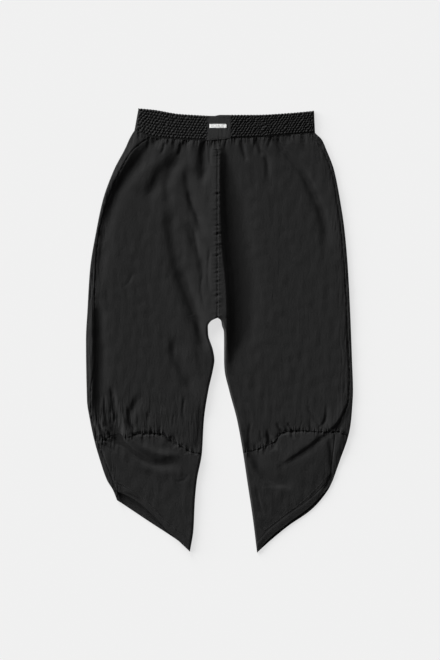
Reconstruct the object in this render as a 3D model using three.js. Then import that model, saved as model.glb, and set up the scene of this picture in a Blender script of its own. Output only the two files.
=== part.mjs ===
// Baggy cotton trousers, laid flat with their front up on the surface z = 0.
// Sizes are millimetres. X runs to the wearer's left, Y towards the waist and Z up.
import * as THREE from "three";

// Driving dimensions of the cloth and of the way it lies.
const WALL = 1.5;
const SEAM_GAP = 0.3;
const LYING_HEIGHT = 6.5; // top of the front where it has no fold
const LOWEST_FRONT = WALL * 2 + 0.4; // top of the front where it touches the back
const ROLL_DEPTH = 3.4; // how far the turn at the outer side reaches in
const EDGE_SLOPE = 9; // width over which an inner edge comes down
const CROTCH_Y = 24;
const CENTRE_X = -5; // the centre seam lies a little to the wearer's right
const FRONT_GATHERS = 14;
const WAIST_GATHER = { height: 1.7, reach: 26 };
const CUFF_GATHER = { height: 1.3, reach: 15 };
const HEM = { width: 18, step: 2, raise: 0.6 };

// The shirred waistband and the woven label sewn on it.
const BAND_WALL = 3;
const BAND_INSIDE = 0.4; // space between the band's front and back
const SHIRRING = { rows: 9, rib: 6.3, low: 0.2, ribLow: 0.5, ribHigh: 1.3 };
const LABEL = { x: -2.5, width: 49, margin: 0.8, thickness: 0.9, bow: 0.25 };

const COLOURS = { cloth: 0x242424, band: 0x1d1d1d, label: 0x262626 };

// Turns plain rows into objects with the named columns.
function table(columns, rows) {
  return rows.map((row) => Object.fromEntries(columns.map((name, i) => [name, row[i]])));
}

// The outer side of each leg, from the waist seam down to the tip of the hem.
const OUTLINE_RIGHT = table(["y", "x"], [
  [399, -171], [386, -179], [362, -190], [320, -212], [260, -234], [200, -247], [120, -260],
  [40, -265], [-20, -268], [-140, -266], [-180, -260], [-222, -251], [-260, -240],
  [-300, -226], [-320, -214], [-340, -206],
]);
const OUTLINE_LEFT = table(["y", "x"], [
  [394, 190], [380, 204], [362, 212], [320, 228], [260, 240], [200, 249], [120, 256],
  [20, 261], [-60, 264], [-120, 266], [-160, 264], [-190, 261], [-214, 256], [-260, 240],
  [-300, 226],
]);

// The side seams, which lie on the front a little in from the outer side.
const SIDE_SEAM_RIGHT = table(["y", "x"], [
  [384, -142], [370, -162], [354, -178], [312, -202], [264, -222], [204, -239], [130, -248],
  [48, -250], [-42, -248], [-76, -249], [-110, -257], [-150, -258], [-222, -244],
  [-230, -241], [-260, -229.6], [-340, -199],
]);
const SIDE_SEAM_LEFT = table(["y", "x"], [
  [391, 184], [360, 205], [308, 225], [250, 235], [190, 243], [120, 249], [0, 255],
  [-100, 259], [-140, 257], [-160, 250], [-180, 242], [-205, 231], [-220, 229.3],
  [-300, 220],
]);

// The inner edges: the centre seam, the crotch, the inner leg and the lower leg.
const INNER_RIGHT = table(["y", "x"], [
  [390, CENTRE_X], [CROTCH_Y, CENTRE_X], [21.5, -12], [17, -19], [8, -24], [-8, -23.5],
  [-40, -14], [-60, -11], [-80, -14], [-120, -23], [-180, -32], [-246, -36], [-300, -46],
  [-340, -50], [-400, -53], [-440, -60],
]);
const INNER_LEFT = table(["y", "x"], [
  [390, CENTRE_X], [CROTCH_Y, CENTRE_X], [21.5, 0], [17, 2.5], [8, 4], [-2, 7.5], [-20, 8],
  [-60, 8], [-80, 9], [-120, 18], [-180, 34], [-246, 46], [-300, 54], [-380, 66], [-442, 74],
]);

// The seams and hems that cross the legs.
const WAIST_SEAM = table(["x", "y"], [
  [-171, 399], [-150, 389], [-130, 383.5], [-107, 381.5], [-63, 379], [-27, 378], [22, 382],
  [84, 385], [113, 388], [157, 391], [190, 394],
]);
const BAND_TOP = table(["x", "y"], [
  [-163, 443], [-132, 440], [-84, 432], [-56, 430], [-12, 428], [0, 430], [72, 430],
  [144, 434], [188, 438],
]);
// How the band narrows from the waist seam to its top edge. The label's sides stay upright.
const BAND_SIDES = table(["bottom", "top"], [[-171, -163], [-28, -28], [24, 24], [190, 188]]);
const CUFF_SEAM_RIGHT = table(["x", "y"], [
  [-251, -222], [-236, -221], [-216, -212], [-200, -209], [-188, -216], [-170, -210],
  [-120, -208], [-98, -221], [-76, -234], [-49, -247], [-36, -246],
]);
const CUFF_SEAM_LEFT = table(["x", "y"], [
  [46, -246], [60, -244], [88, -234], [108, -225], [122, -208], [152, -202], [206, -205],
  [236, -204], [256, -214],
]);
const HEM_FRONT_RIGHT = table(["x", "y"], [
  [-214, -320], [-192, -328], [-170, -340], [-136, -368], [-104, -402], [-80, -424], [-60, -440],
]);
const HEM_BACK_RIGHT = table(["x", "y"], [
  [-206, -340], [-176, -360], [-140, -384], [-100, -410], [-80, -424], [-60, -440],
]);
const HEM_FRONT_LEFT = table(["x", "y"], [
  [226, -300], [212, -320], [180, -354], [140, -384], [100, -416], [74, -442],
]);
const HEM_BACK_LEFT = table(["x", "y"], [
  [226, -300], [216, -320], [184, -358], [136, -392], [104, -418], [74, -442],
]);

// The largest folds of the front: a ridge has a height over zero and a trough one below.
// "left" and "right" are its widths on each side, seen along its path from the first point.
const FOLDS = table(["height", "left", "right", "path"], [
  [4.5, 7, 16, [[-3, 372], [-5, 290], [-5, 200], [-2, 140], [4, 80], [6, 34], [4, 2], [4, -50]]],
  [4.5, 7, 14, [[-5, 250], [-4, 180], [0, 120], [5, 70], [7, 30], [5, 0], [4, -30]]],
  [-3.4, 12, 6, [[8, 368], [9, 286], [14, 194], [20, 148], [25, 88], [26, 40], [23, 0], [17, -60]]],
  [-2.6, 18, 16, [[22, 220], [34, 140], [40, 80], [40, 20], [32, -20], [22, -70]]],
  [2.5, 14, 9, [[-160, 392], [-190, 352], [-214, 306], [-236, 240], [-254, 150]]],
  [-2.6, 12, 8, [[-140, 384], [-178, 352], [-204, 308], [-230, 236], [-247, 150], [-248, 20]]],
  [-2.2, 18, 15, [[-76, 380], [-110, 340], [-142, 284], [-156, 246]]],
  [1.8, 14, 20, [[-54, 372], [-84, 320], [-106, 250], [-112, 180]]],
  [-1.2, 13, 13, [[-136, 254], [-180, 196], [-232, 130]]],
  [-2.5, 13, 8, [[-68, 296], [-60, 256], [-48, 230], [-46, 190], [-40, 140]]],
  [-2.8, 15, 8, [[-102, 276], [-98, 180], [-88, 104], [-66, 62], [-50, 20], [-38, -30]]],
  [2.6, 9, 15, [[-44, 92], [-34, 40], [-30, -10], [-36, -60]]],
  [-1.5, 12, 12, [[-92, -44], [-72, -82], [-46, -118]]],
  [-3, 9, 7, [[-212, -140], [-210, -176], [-196, -212]]],
  [-3, 9, 7, [[-183, -140], [-180, -180], [-168, -212]]],
  [-2, 7, 9, [[-36, -150], [-38, -200], [-46, -244]]],
  [-2.6, 18, 12, [[100, 380], [142, 330], [188, 260], [212, 200], [224, 160]]],
  [2.2, 20, 16, [[70, 384], [112, 318], [150, 250], [172, 170]]],
  [-2.6, 8, 8, [[-34, 382], [-35, 340], [-37, 300]]],
  [4.6, 5, 15, [[264, -140], [230, -186], [196, -218], [146, -252], [88, -286]]],
  [-2.6, 13, 6, [[262, -168], [236, -198], [202, -230], [152, -264], [90, -298]]],
  [-2, 9, 9, [[54, -244], [74, -272], [90, -304]]],
  [-2.6, 9, 7, [[-206, -206], [-184, -236], [-150, -256], [-112, -274]]],
  [3, 10, 10, [[-216, -236], [-180, -258], [-124, -282]]],
]);

// How far down the inner edge each row of a leg's points lies.
const LEG_STATIONS = [
  372, 356, 332, 300, 265, 230, 195, 160, 125, 90, 55, CROTCH_Y, 17, 8, -20, -55, -90, -125, -160,
  -190, -214, -232,
];
const CUFF_STATIONS = [0, 0.07, 0.17, 0.3, 0.45, 0.62, 0.8, 1];
// Where the columns of a back's flat side lie, as shares of its width from the outer side.
const BACK_COLUMNS = [0.14, 0.3, 0.48, 0.66, 0.84];
const STRIP_COLUMNS = 3;

const clamp = (value) => Math.min(1, Math.max(0, value));
const mix = (from, to, share) => from + (to - from) * share;
const ease = (value) => clamp(value) ** 2 * (3 - 2 * clamp(value));

// A smooth curve through the rows of a table that doesn't overshoot them.
function curveThrough(rows, from, to) {
  const sorted = [...rows].sort((a, b) => a[from] - b[from]);
  const at = sorted.map((row) => row[from]);
  const value = sorted.map((row) => row[to]);
  const slope = at.slice(1).map((end, i) => (value[i + 1] - value[i]) / (end - at[i]));
  const tangent = value.map((_, i) => {
    const before = slope[i - 1] ?? slope[i];
    const after = slope[i] ?? slope[i - 1];
    return before * after <= 0 ? 0 : (2 * before * after) / (before + after);
  });
  return (wanted) => {
    const next = at.findIndex((end, i) => i > 0 && wanted < end);
    const i = next < 0 ? at.length - 2 : next - 1;
    const span = at[i + 1] - at[i];
    const s = clamp((wanted - at[i]) / span);
    const startTurn = tangent[i] * span * s * (1 - s) ** 2;
    const endTurn = tangent[i + 1] * span * s * s * (1 - s);
    return mix(value[i], value[i + 1], ease(s)) + startTurn - endTurn;
  };
}

// What one fold adds to the height of the front at a point.
function foldHeight(fold, x, y) {
  let nearest = { distance: Infinity, along: 0, onLeft: false };
  const last = fold.line.length - 1;
  for (let i = 0; i < last; i += 1) {
    const start = fold.line[i];
    const step = fold.line[i + 1].clone().sub(start);
    const away = new THREE.Vector3(x, y, 0).sub(start);
    const share = clamp(away.dot(step) / step.lengthSq());
    const distance = away.distanceTo(step.clone().multiplyScalar(share));
    if (distance < nearest.distance) {
      const onLeft = step.x * away.y - step.y * away.x > 0;
      nearest = { distance, along: (i + share) / last, onLeft };
    }
  }
  const width = nearest.onLeft ? fold.left : fold.right;
  const across = Math.exp(-((nearest.distance / width) ** 2));
  return fold.height * across * Math.sin(Math.PI * nearest.along) ** 0.6;
}

const foldsOfFront = FOLDS.map((fold) => {
  const points = fold.path.map(([x, y]) => new THREE.Vector3(x, y, 0));
  const line = new THREE.CatmullRomCurve3(points, false, "centripetal").getPoints(16);
  return { ...fold, line };
});

// The height of the front's upper face, before gathers and edges.
function frontHeight(x, y) {
  const added = foldsOfFront.reduce((sum, fold) => sum + foldHeight(fold, x, y), 0);
  return Math.max(LOWEST_FRONT, LYING_HEIGHT + added);
}

// A four-sided patch of the garment seen from above.
// u runs from the outer side to the inner edge, and v from the top down.
function patchBetween({ top, bottom, outline, inner, corners }) {
  const point = (x, y) => new THREE.Vector2(x, y);
  const outerAt = (v) => {
    const y = mix(corners.topOuter, corners.bottomOuter, v);
    return point(outline(y), y);
  };
  const innerAt = (v) => {
    const y = mix(corners.topInner, corners.bottomInner, v);
    return point(inner(y), y);
  };
  const crossing = (curve, from, to, u) => {
    const x = mix(from.x, to.x, u);
    return point(x, curve(x));
  };
  const topAt = (u) => crossing(top, outerAt(0), innerAt(0), u);
  const bottomAt = (u) => crossing(bottom, outerAt(1), innerAt(1), u);
  const cornerMix = (u, v) => {
    const above = topAt(0).lerp(topAt(1), u);
    const below = bottomAt(0).lerp(bottomAt(1), u);
    return above.lerp(below, v);
  };
  return (u, v) => {
    const down = topAt(u).lerp(bottomAt(u), v);
    const across = outerAt(v).lerp(innerAt(v), u);
    return down.add(across).sub(cornerMix(u, v));
  };
}

// The length of a patch's row, and the share of it where the side seam crosses.
function measureRow(patch, seam, side, v) {
  const length = patch(0, v).distanceTo(patch(1, v));
  let low = 0;
  let high = 0.6;
  for (let i = 0; i < 40; i += 1) {
    const middle = (low + high) / 2;
    const point = patch(middle, v);
    const outside = side * (point.x - seam(point.y)) > 0;
    low = outside ? middle : low;
    high = outside ? high : middle;
  }
  return { v, length, seamShare: low };
}

// Joins two grids of points, one for each face of a wall, and closes its edges.
// A ring's columns go round and join up, and its faces may differ in rows.
function closedWall(outer, inner, isRing = false) {
  const columns = outer[0].length;
  const points = [...outer.flat(), ...inner.flat()];
  const outerIndex = (row, column) => row * columns + (column % columns);
  const innerIndex = (row, column) => (outer.length + row) * columns + (column % columns);
  const faces = [];
  const quad = (a, b, c, d) => faces.push([a, b, c], [a, c, d]);
  const across = isRing ? columns : columns - 1;
  const addFace = (index, rows, flip) => {
    for (let row = 0; row < rows - 1; row += 1) {
      for (let column = 0; column < across; column += 1) {
        const corners = [
          index(row, column), index(row, column + 1),
          index(row + 1, column + 1), index(row + 1, column),
        ];
        quad(...(flip ? corners.reverse() : corners));
      }
    }
  };
  addFace(outerIndex, outer.length, false);
  addFace(innerIndex, inner.length, true);
  const lastOuter = outer.length - 1;
  const lastInner = inner.length - 1;
  for (let c = 0; c < across; c += 1) {
    quad(innerIndex(0, c), innerIndex(0, c + 1), outerIndex(0, c + 1), outerIndex(0, c));
    quad(
      outerIndex(lastOuter, c), outerIndex(lastOuter, c + 1),
      innerIndex(lastInner, c + 1), innerIndex(lastInner, c),
    );
  }
  if (!isRing) {
    const end = columns - 1;
    for (let r = 0; r < lastOuter; r += 1) {
      quad(outerIndex(r, 0), outerIndex(r + 1, 0), innerIndex(r + 1, 0), innerIndex(r, 0));
      quad(
        innerIndex(r, end), innerIndex(r + 1, end),
        outerIndex(r + 1, end), outerIndex(r, end),
      );
    }
  }
  const volume = faces.reduce((sum, [a, b, c]) => {
    const normal = points[b].clone().cross(points[c]);
    return sum + points[a].dot(normal);
  }, 0);
  const facingOut = volume > 0 ? faces : faces.map((face) => face.toReversed());
  const geometry = new THREE.BufferGeometry().setFromPoints(points);
  geometry.setIndex(facingOut.flat());
  geometry.computeVertexNormals();
  return geometry;
}

const lowered = (grid, depth) =>
  grid.map((row) => row.map(({ x, y, z }) => new THREE.Vector3(x, y, z - depth)));

// Each gather stands a little differently from the next.
const unevenness = (column) => 0.7 + 0.3 * Math.sin(column * 2.4);

// A front piece: its upper face carries the folds, the gathers and the lowered edges.
function frontPiece(rows, patch, heightAt) {
  const outer = rows.map((row) => {
    const start = row.seamShare + SEAM_GAP / 2 / row.length;
    return Array.from({ length: FRONT_GATHERS * 2 + 1 }, (_, column) => {
      const across = column / (FRONT_GATHERS * 2);
      const u = mix(start, 1, across);
      const v = row.vAt ? row.vAt(u) : row.v;
      const { x, y } = patch(u, v);
      return new THREE.Vector3(x, y, heightAt({ x, y, u, v, column, across, row }));
    });
  });
  return closedWall(outer, lowered(outer, WALL));
}

// A back piece: flat below, turned up over the outer side as far as the side seam.
function backPiece(rows, patch, heightAt) {
  const underShares = [1, ...BACK_COLUMNS.toReversed()];
  const turnAngles = [-90, -45, 0, 45, 90].map(THREE.MathUtils.degToRad);
  const sectionFor = (row, offset) => {
    const rollShare = ROLL_DEPTH / row.length;
    const at = (u, z) => {
      const { x, y } = patch(u, row.v);
      return new THREE.Vector3(x, y, z);
    };
    const top = (u) => heightAt({ ...patch(u, row.v), u, v: row.v, row });
    const edgeTop = top(rollShare);
    const under = underShares.map((share) => at(share, offset));
    const turn = turnAngles.map((angle) => {
      const reach = ROLL_DEPTH - (ROLL_DEPTH - offset) * Math.cos(angle);
      const z = edgeTop / 2 + (edgeTop / 2 - offset) * Math.sin(angle);
      return at(reach / row.length, z);
    });
    const end = row.seamShare - SEAM_GAP / 2 / row.length;
    const strip = Array.from({ length: STRIP_COLUMNS }, (_, column) => {
      const u = mix(rollShare, end, (column + 1) / STRIP_COLUMNS);
      return at(u, top(u) - offset);
    });
    return [...under, ...turn, ...strip];
  };
  const outer = rows.map((row) => sectionFor(row, 0));
  const inner = rows.map((row) => sectionFor(row, WALL));
  return closedWall(outer, inner);
}

// An edge that lies on the back comes down to it.
const settle = (height, distance) => mix(LOWEST_FRONT, height, ease(distance / EDGE_SLOPE));

const gatherHeight = (gather, distance, column) =>
  gather.height * unevenness(column) * Math.cos(Math.PI * column) * Math.exp(-distance / gather.reach);

// One leg's upper part, from the waist seam to the seam of the lower leg.
function legPieces(leg) {
  const waist = curveThrough(WAIST_SEAM, "x", "y");
  const cuffSeam = curveThrough(leg.cuffSeam, "x", "y");
  const outline = curveThrough(leg.outline, "y", "x");
  const innerEdge = curveThrough(leg.inner, "y", "x");
  const corners = {
    topOuter: leg.outline[0].y - SEAM_GAP / 2,
    topInner: waist(CENTRE_X) - SEAM_GAP / 2,
    bottomOuter: leg.cuffOuterY + SEAM_GAP / 2,
    bottomInner: leg.cuffInnerY + SEAM_GAP / 2,
  };
  const patch = patchBetween({
    top: (x) => waist(x) - SEAM_GAP / 2,
    bottom: (x) => cuffSeam(x) + SEAM_GAP / 2,
    outline,
    inner: (y) => innerEdge(y) + (leg.side * SEAM_GAP) / 2,
    corners,
  });
  const drop = corners.topInner - corners.bottomInner;
  const shares = [0, ...LEG_STATIONS.map((y) => (corners.topInner - y) / drop), 1];
  const seam = curveThrough(leg.sideSeam, "y", "x");
  const rows = shares.map((v) => measureRow(patch, seam, leg.side, v));
  const smoothHeight = ({ x, y, u, row }) => {
    const fromInner = (1 - u) * row.length;
    const belowCrotch = ease((CROTCH_Y + 30 - y) / 30);
    return mix(frontHeight(x, y), settle(frontHeight(x, y), fromInner), belowCrotch);
  };
  const gatheredHeight = (place) => {
    const fromWaist = place.v * drop;
    const fromCuff = (1 - place.v) * drop;
    const endFade = Math.sin(Math.PI * place.across) ** 0.5;
    const gathers =
      gatherHeight(WAIST_GATHER, fromWaist, place.column) +
      gatherHeight(CUFF_GATHER, fromCuff, place.column);
    return Math.max(LOWEST_FRONT, smoothHeight(place) + gathers * endFade);
  };
  return {
    front: frontPiece(rows, patch, gatheredHeight),
    back: backPiece(rows, patch, smoothHeight),
  };
}

// One leg's lower part, which comes to a point at the inner side.
function cuffPieces(leg) {
  const cuffSeam = curveThrough(leg.cuffSeam, "x", "y");
  const outline = curveThrough(leg.outline, "y", "x");
  const innerEdge = curveThrough(leg.inner, "y", "x");
  const seam = curveThrough(leg.sideSeam, "y", "x");
  const patchTo = (hemRows) => {
    const hem = curveThrough(hemRows, "x", "y");
    const outerEnd = hemRows[0].y;
    const innerEnd = hemRows.at(-1).y;
    return patchBetween({
      top: (x) => cuffSeam(x) - SEAM_GAP / 2,
      bottom: hem,
      outline,
      inner: (y) => innerEdge(y) + (leg.side * SEAM_GAP) / 2,
      corners: {
        topOuter: leg.cuffOuterY - SEAM_GAP / 2,
        topInner: leg.cuffInnerY - SEAM_GAP / 2,
        bottomOuter: outerEnd,
        bottomInner: innerEnd,
      },
    });
  };
  const frontPatch = patchTo(leg.hemFront);
  const backPatch = patchTo(leg.hemBack);
  const lengthDown = (u) => frontPatch(u, 0).distanceTo(frontPatch(u, 1));
  const heightAt = ({ x, y, u, v, row }) => {
    const fromInner = (1 - u) * row.length;
    const fromHem = (1 - v) * lengthDown(u);
    const height = settle(frontHeight(x, y), fromInner);
    return mix(height, settle(height, fromHem), ease((u - 0.04) / 0.14));
  };
  const gatheredHeight = (place) => {
    const fromSeam = place.v * lengthDown(place.u);
    const fromHem = (1 - place.v) * lengthDown(place.u);
    const endFade = Math.sin(Math.PI * place.across) ** 0.5;
    const gathers = gatherHeight(CUFF_GATHER, fromSeam, place.column) * endFade;
    const hemRaise = fromHem < HEM.width + HEM.step / 2 ? HEM.raise : 0;
    return Math.max(LOWEST_FRONT, heightAt(place) + gathers) + hemRaise;
  };
  const measured = (patch) => CUFF_STATIONS.map((v) => measureRow(patch, seam, leg.side, v));
  const untilHem = (share, u) => share * (1 - (HEM.width + HEM.step) / lengthDown(u));
  const bodyRows = measured(frontPatch).map((row) => ({ ...row, vAt: (u) => untilHem(row.v, u) }));
  const hemRows = [HEM.width, HEM.width / 2, 0].map((fromHem) => ({
    ...measureRow(frontPatch, seam, leg.side, 1),
    vAt: (u) => 1 - fromHem / lengthDown(u),
  }));
  const onSeam = (row) => {
    const { seamShare } = measureRow(frontPatch, seam, leg.side, row.vAt(row.seamShare));
    return { ...row, seamShare };
  };
  return {
    front: frontPiece([...bodyRows, ...hemRows].map(onSeam), frontPatch, gatheredHeight),
    back: backPiece(measured(backPatch), backPatch, heightAt),
  };
}

// The patch of the waistband: u runs from the wearer's right to the left, v from the top down.
const bandTop = curveThrough(BAND_TOP, "x", "y");
const waistSeam = curveThrough(WAIST_SEAM, "x", "y");
const bandSide = curveThrough(BAND_SIDES, "bottom", "top");
function bandPoint(u, v) {
  const bottomX = mix(WAIST_SEAM[0].x, WAIST_SEAM.at(-1).x, u);
  const topX = bandSide(bottomX);
  const above = new THREE.Vector2(topX, bandTop(topX));
  const below = new THREE.Vector2(bottomX, waistSeam(bottomX) + SEAM_GAP / 2);
  return above.lerp(below, v);
}

const bandWidth = WAIST_SEAM.at(-1).x - WAIST_SEAM[0].x;
const bandShareAt = (x) => (x - WAIST_SEAM[0].x) / bandWidth;
const bandHeight = BAND_WALL * 2 + BAND_INSIDE;

// The waistband is one ring pressed flat, with the shirring raised on its front.
function waistband() {
  const rollShare = ROLL_DEPTH / bandWidth;
  const labelStart = bandShareAt(LABEL.x - LABEL.width / 2);
  const labelEnd = bandShareAt(LABEL.x + LABEL.width / 2);
  const ribColumns = (from, to) => {
    const ribs = Math.round(((to - from) * bandWidth) / SHIRRING.rib);
    return Array.from({ length: ribs * 2 }, (_, i) => mix(from, to, i / (ribs * 2)));
  };
  const plainColumns = [labelStart, (labelStart + labelEnd) / 2];
  const frontShares = [
    ...ribColumns(rollShare, labelStart),
    ...plainColumns,
    ...ribColumns(labelEnd, 1 - rollShare),
    1 - rollShare,
  ];
  const leftBack = BACK_COLUMNS.map((share) => mix(WAIST_SEAM.at(-1).x, CENTRE_X, share));
  const rightBack = BACK_COLUMNS.map((share) => mix(WAIST_SEAM[0].x, CENTRE_X, share));
  const backShares = [...leftBack, CENTRE_X, ...rightBack.toReversed()].map(bandShareAt);
  const rowCount = SHIRRING.rows * 2;
  const relief = (u, column, row) => {
    const plain = u >= labelStart && u <= labelEnd;
    const onStitch = row % 2 === 0;
    const crest = (column + (row - 1) / 2) % 2 === 0;
    const raised = crest ? SHIRRING.ribHigh : SHIRRING.ribLow;
    return plain || onStitch ? SHIRRING.low : raised;
  };
  const turn = (v, angles, atEnd, offset) =>
    angles.map((degrees) => {
      const angle = THREE.MathUtils.degToRad(degrees);
      const reach = (ROLL_DEPTH - (ROLL_DEPTH - offset) * Math.cos(angle)) / bandWidth;
      const { x, y } = bandPoint(atEnd ? 1 - reach : reach, v);
      return new THREE.Vector3(x, y, bandHeight / 2 + (bandHeight / 2 - offset) * Math.sin(angle));
    });
  const loop = (v, offset, raisedAt) => {
    const place = (u, z) => {
      const { x, y } = bandPoint(u, v);
      return new THREE.Vector3(x, y, z);
    };
    const front = frontShares.map((u, column) => place(u, bandHeight - offset + raisedAt(u, column)));
    const back = backShares.map((u) => place(u, offset));
    return [
      ...front,
      ...turn(v, [45, 0, -45, -90], true, offset),
      ...back,
      ...turn(v, [-90, -45, 0, 45], false, offset),
    ];
  };
  const outer = Array.from({ length: rowCount + 1 }, (_, row) =>
    loop(row / rowCount, 0, (u, column) => relief(u, column, row)),
  );
  const inner = [0, 1].map((v) => loop(v, BAND_WALL, () => 0));
  return closedWall(outer, inner, true);
}

// The label is a small woven square made from the band's points, moved out.
function waistLabel() {
  const count = 6;
  const start = bandShareAt(LABEL.x - LABEL.width / 2 + LABEL.margin);
  const end = bandShareAt(LABEL.x + LABEL.width / 2 - LABEL.margin);
  const steps = Array.from({ length: count + 1 }, (_, i) => i / count);
  const outer = steps.map((down) =>
    steps.map((across) => {
      const { x, y } = bandPoint(mix(start, end, across), mix(0.02, 0.98, down));
      const bow = LABEL.bow * Math.sin(Math.PI * across) * Math.sin(Math.PI * down);
      const seat = bandHeight + SHIRRING.low + SEAM_GAP;
      return new THREE.Vector3(x, y, seat + LABEL.thickness + bow);
    }),
  );
  return closedWall(outer, lowered(outer, LABEL.thickness));
}

const LEGS = {
  right: {
    side: -1,
    outline: OUTLINE_RIGHT,
    sideSeam: SIDE_SEAM_RIGHT,
    inner: INNER_RIGHT,
    cuffSeam: CUFF_SEAM_RIGHT,
    cuffOuterY: CUFF_SEAM_RIGHT[0].y,
    cuffInnerY: CUFF_SEAM_RIGHT.at(-1).y,
    hemFront: HEM_FRONT_RIGHT,
    hemBack: HEM_BACK_RIGHT,
  },
  left: {
    side: 1,
    outline: OUTLINE_LEFT,
    sideSeam: SIDE_SEAM_LEFT,
    inner: INNER_LEFT,
    cuffSeam: CUFF_SEAM_LEFT,
    cuffOuterY: CUFF_SEAM_LEFT.at(-1).y,
    cuffInnerY: CUFF_SEAM_LEFT[0].y,
    hemFront: HEM_FRONT_LEFT,
    hemBack: HEM_BACK_LEFT,
  },
};

const trousers = new THREE.Group();

function add(name, geometry, colour, roughness = 0.95) {
  const material = new THREE.MeshStandardMaterial({ color: colour, roughness, metalness: 0 });
  const mesh = new THREE.Mesh(geometry, material);
  mesh.name = name;
  trousers.add(mesh);
}

add("waistband", waistband(), COLOURS.band);
add("waist_label", waistLabel(), COLOURS.label, 0.8);
for (const [side, leg] of Object.entries(LEGS)) {
  const upper = legPieces(leg);
  const lower = cuffPieces(leg);
  add(`front_${side}`, upper.front, COLOURS.cloth);
  add(`back_${side}`, upper.back, COLOURS.cloth);
  add(`cuff_front_${side}`, lower.front, COLOURS.cloth);
  add(`cuff_back_${side}`, lower.back, COLOURS.cloth);
}

// The origin is the middle of the footprint, on the surface.
const middle = new THREE.Box3().setFromObject(trousers).getCenter(new THREE.Vector3());
trousers.position.set(-middle.x, -middle.y, 0);

export default trousers;
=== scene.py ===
"""Baggy black cotton trousers laid flat, front up, seen from straight above.

The garment is worked out in millimetres in its own frame, with X to the wearer's left, Y towards the
waist and Z up, and its meshes are put into the frame's metres when they are made.
"""

import math

import bpy
import numpy as np
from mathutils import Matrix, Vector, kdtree


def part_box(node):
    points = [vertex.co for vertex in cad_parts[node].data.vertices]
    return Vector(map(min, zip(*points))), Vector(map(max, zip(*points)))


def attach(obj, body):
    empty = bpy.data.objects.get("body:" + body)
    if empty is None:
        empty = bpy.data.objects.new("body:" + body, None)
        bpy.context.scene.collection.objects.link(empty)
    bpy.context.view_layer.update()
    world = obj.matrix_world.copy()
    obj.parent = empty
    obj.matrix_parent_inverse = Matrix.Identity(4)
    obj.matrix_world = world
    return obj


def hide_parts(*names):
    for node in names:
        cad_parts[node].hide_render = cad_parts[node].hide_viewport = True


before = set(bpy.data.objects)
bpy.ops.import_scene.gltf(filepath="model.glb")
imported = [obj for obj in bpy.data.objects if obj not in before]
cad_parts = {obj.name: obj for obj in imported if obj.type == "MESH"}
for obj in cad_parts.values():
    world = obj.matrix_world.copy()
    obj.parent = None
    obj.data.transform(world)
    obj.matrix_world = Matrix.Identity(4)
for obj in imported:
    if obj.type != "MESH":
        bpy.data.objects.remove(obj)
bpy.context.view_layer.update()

MM = 0.001

# The cloth and the way it lies.
WALL = 0.8
LYING_HEIGHT = 7.5
LOWEST_FRONT = 1.9
SOFT_FLOOR = 0.8
ROLL_DEPTH = 3.4
EDGE_SLOPE = 4.0
OUTER_EDGE = {"drop": 1.4, "slope": 14.0}
BACK_CREASE_START = 14.0
CROTCH_Y = 24.0
CENTRE_X = -5.0
SEAM_OVERLAP = 0.3
SEAM_GAP = 0.1

# The distances between the points of the meshes.
ACROSS_SPACING = 1.45
DOWN_SPACING = {"near_seams": 1.3, "between": 3.0, "seam_reach": 22.0}
CUFF_DOWN_SPACING = 1.5
STRIP_SPACING = 1.8
UNDER_SPACING = 4.5

# The hems. Each opens at its outer side, over a share of its width.
HEM_SLOPE = 110.0
HEM_REACH = 14.0
HEM_OPENING = {"start": 0.04, "over": 0.14}
HEM_WIDTH = {"front": 18.0, "back": 11.0}
HEM_THICKNESS = {"front": 0.3, "back": 0.8}

# Gathers that start at a seam.
GATHERS = {
    "waist": {"seed": 0, "count": 34, "shortest": 8, "longest": 32, "strength": 1.5},
    "above_cuff": {"seed": 1, "count": 36, "shortest": 7, "longest": 26, "strength": 1.2},
    "below_cuff": {"seed": 5, "count": 30, "shortest": 5, "longest": 16, "strength": 1.0},
}
WAIST_GATHER_SPAN = (0.0, 180.0)
GATHER_SHAPE = {"width": (1.5, 3.4), "slant": (-0.3, 0.3), "strength": (-0.7, 2.6)}

# Where a seam's puckers and dark lines begin in the crease fields.
FIELD_STARTS = {"cuff": 130.0, "side": 40.0, "centre": 910.0}

# What runs along the seams and edges: its height or depth, and its reach or width.
PUCKERS = {"waist": (0.8, 8.0), "centre": (1.5, 8.0), "above_cuff": (1.2, 7.0), "below_cuff": (1.1, 6.0)}
DARK_LINES = {"cuff": (2.8, 1.8), "side": (1.2, 1.5)}
GROOVES = {
    "waist": (0.7, 2.6), "centre": (1.0, 1.6), "side": (0.7, 1.6), "cuff": (0.3, 2.2),
    "cuff_side": (1.1, 1.6), "hem": (0.6, 1.2), "back_hem": (0.7, 1.3),
    "band_top": (1.2, 1.6), "band_bottom": (1.6, 2.2),
    "label_edge": (0.5, 0.7), "label_stitches": (0.35, 0.7),
}

# The waistband's shirring, whose two ends differ, and the label.
BAND_WALL = 1.6
BAND_HEIGHT = 5.0
BAND_DEPTH = 49.0
BAND_POINTS = {"down": 96, "front": 430, "back": 110, "side": 13}
SHIRR_ROWS = 9
SHIRR_RIB = 6.3
SHIRR_DEPTH = {"right": 3.6, "left": 4.32}
SHIRR_SLANT = {"right": 0.3, "left": 0.55}
SHIRR_FULLNESS = {"right": 0.8, "left": 0.5}
BACK_RELIEF_SHARE = 0.4
PLAIN_STRIP = {"share": 0.6, "height": 1.4}
LABEL_X = -2.5
LABEL_WIDTH = 49.0
LABEL_THICKNESS = 0.9
LABEL_LIFT = 1.2
LABEL_INSET = {"side": 0.6, "top": 0.6, "bottom": 0.8}
LABEL_BAR = {"x": (-21.0, 13.0), "y": (411.5, 403.5), "lift": 0.4, "thread": 0.08}


def table(columns, rows):
    """Rows as dictionaries with the named columns."""
    return [dict(zip(columns, row)) for row in rows]


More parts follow.
